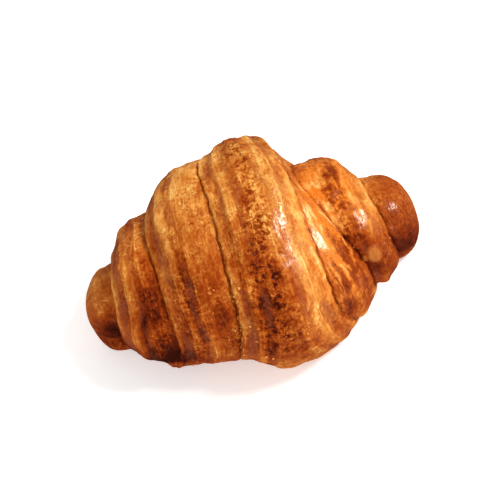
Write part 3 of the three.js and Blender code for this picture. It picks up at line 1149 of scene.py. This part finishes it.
def flake_material():
    material, w = start_material("flake")
    place = w.add("ShaderNodeTexCoord").outputs["Object"]
    mottle = signed(w, w.noise(place, scale=BROWNED_SCALE, detail=3.0), 0.6)
    tone = w.add("ShaderNodeAttribute", attribute_name="tone").outputs["Fac"]
    browned = w.math("ADD", tone, mottle, clamp=True)
    colour = w.add("ShaderNodeMix", {0: browned, 6: FLAKE_PALE, 7: FLAKE_BROWN}, data_type="RGBA")
    bump = w.add("ShaderNodeBump", {"Strength": 0.5, "Distance": 0.1 * MM, "Height": mottle})
    finish_material(w, {
        "Base Color": colour.outputs[2],
        "Roughness": 0.55,
        "Normal": bump.outputs[0],
        "Specular IOR Level": 0.1,
    })
    return material


flakes = add_object("croissant_flakes", croissant.data)
apply_tree(flakes, flakes_tree(), {**FLAKE_SIZES, "Material": flake_material()})
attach(flakes, "root")


# The table and the light
# A plain white light table, a soft key light high on the right with a second one beside it that only
# the glaze reflects, a weaker fill from the front left, and a bright even room.
TABLE_SIZE = 6.0
TABLE_COLOUR = (0.93, 0.93, 0.93, 1.0)
TABLE_GLOW = 0.35
ROOM_COLOUR = (1.0, 0.99, 0.97, 1.0)
ROOM_STRENGTH = 0.65
# Each light: its place and size in metres, power, colour, whether it shines in the glaze and whether it
# lights the crust. All aim at the middle of the croissant.
LIGHTS = {
    "key_light": ((0.62, -0.03, 0.85), (0.36, 0.16), 9.7, (1.0, 0.97, 0.92), False, True),
    "gloss_light": ((0.7, -0.12, 0.81), (0.42, 0.28), 20.0, (1.0, 0.91, 0.76), True, False),
    "fill_light": ((-0.5, -0.9, 0.7), (0.7, 0.7), 3.5, (1.0, 0.98, 0.96), False, True),
}
LIGHTS_AIM = Vector((0, 0, 0.03))


def add_table():
    half = TABLE_SIZE / 2
    corners = [(-half, -half, 0), (half, -half, 0), (half, half, 0), (-half, half, 0)]
    mesh = bpy.data.meshes.new("table")
    mesh.from_pydata(corners, [], [(0, 1, 2, 3)])
    material, w = start_material("table_white")
    finish_material(w, {
        "Base Color": TABLE_COLOUR,
        "Roughness": 0.9,
        "Specular IOR Level": 0.1,
        "Emission Color": TABLE_COLOUR,
        "Emission Strength": TABLE_GLOW,
    })
    mesh.materials.append(material)
    table = add_object("table", mesh)
    table.visible_glossy = False


def add_light(name, place, size, power, colour, shines, lights):
    lamp = bpy.data.lights.new(name, "AREA")
    lamp.shape = "RECTANGLE"
    lamp.size, lamp.size_y = size
    lamp.energy = power
    lamp.color = colour
    light = add_object(name, lamp)
    light.location = place
    light.visible_glossy = shines
    light.visible_diffuse = lights
    light.rotation_euler = (LIGHTS_AIM - Vector(place)).to_track_quat("-Z", "Y").to_euler()


add_table()
for name, values in LIGHTS.items():
    add_light(name, *values)
room = bpy.data.worlds.new("room")
room.use_nodes = True
background = room.node_tree.nodes["Background"].inputs
background["Color"].default_value = ROOM_COLOUR
background["Strength"].default_value = ROOM_STRENGTH
room.cycles_visibility.glossy = False
bpy.context.scene.world = room
bpy.context.scene.view_settings.view_transform = "Standard"


# The camera
# The photograph looks down on the front at about 54 degrees from half a metre away, with the camera
# rolled so that the croissant climbs to the right.
ELEVATION = np.radians(54.0)
AZIMUTH = np.radians(2.15)
CAMERA_ROLL = np.radians(16.68)
CAMERA_DISTANCE = 0.5
CAMERA_AIM = Vector((0.00095, 0.00033, 0.022))
FRAME_PIXELS = 500
FOCAL_PIXELS = 1372
SENSOR_MM = 36.0
AIM_PIXEL = (251.8, 254.85)

back = Vector((
    np.sin(AZIMUTH) * np.cos(ELEVATION),
    -np.cos(AZIMUTH) * np.cos(ELEVATION),
    np.sin(ELEVATION),
))
level_right = Vector((np.cos(AZIMUTH), np.sin(AZIMUTH), 0.0))
level_up = back.cross(level_right)
right = level_right * np.cos(CAMERA_ROLL) - level_up * np.sin(CAMERA_ROLL)
up = level_right * np.sin(CAMERA_ROLL) + level_up * np.cos(CAMERA_ROLL)
metres_per_pixel = CAMERA_DISTANCE / FOCAL_PIXELS
centre_pixel = FRAME_PIXELS / 2
aim = CAMERA_AIM - right * (AIM_PIXEL[0] - centre_pixel) * metres_per_pixel
aim += up * (AIM_PIXEL[1] - centre_pixel) * metres_per_pixel
lens = bpy.data.cameras.new("camera")
lens.sensor_width = SENSOR_MM
lens.lens = FOCAL_PIXELS / FRAME_PIXELS * SENSOR_MM
camera = add_object("camera", lens)
turned = Matrix((right, up, back)).transposed().to_4x4()
camera.matrix_world = Matrix.Translation(aim + back * CAMERA_DISTANCE) @ turned
bpy.context.scene.camera = camera
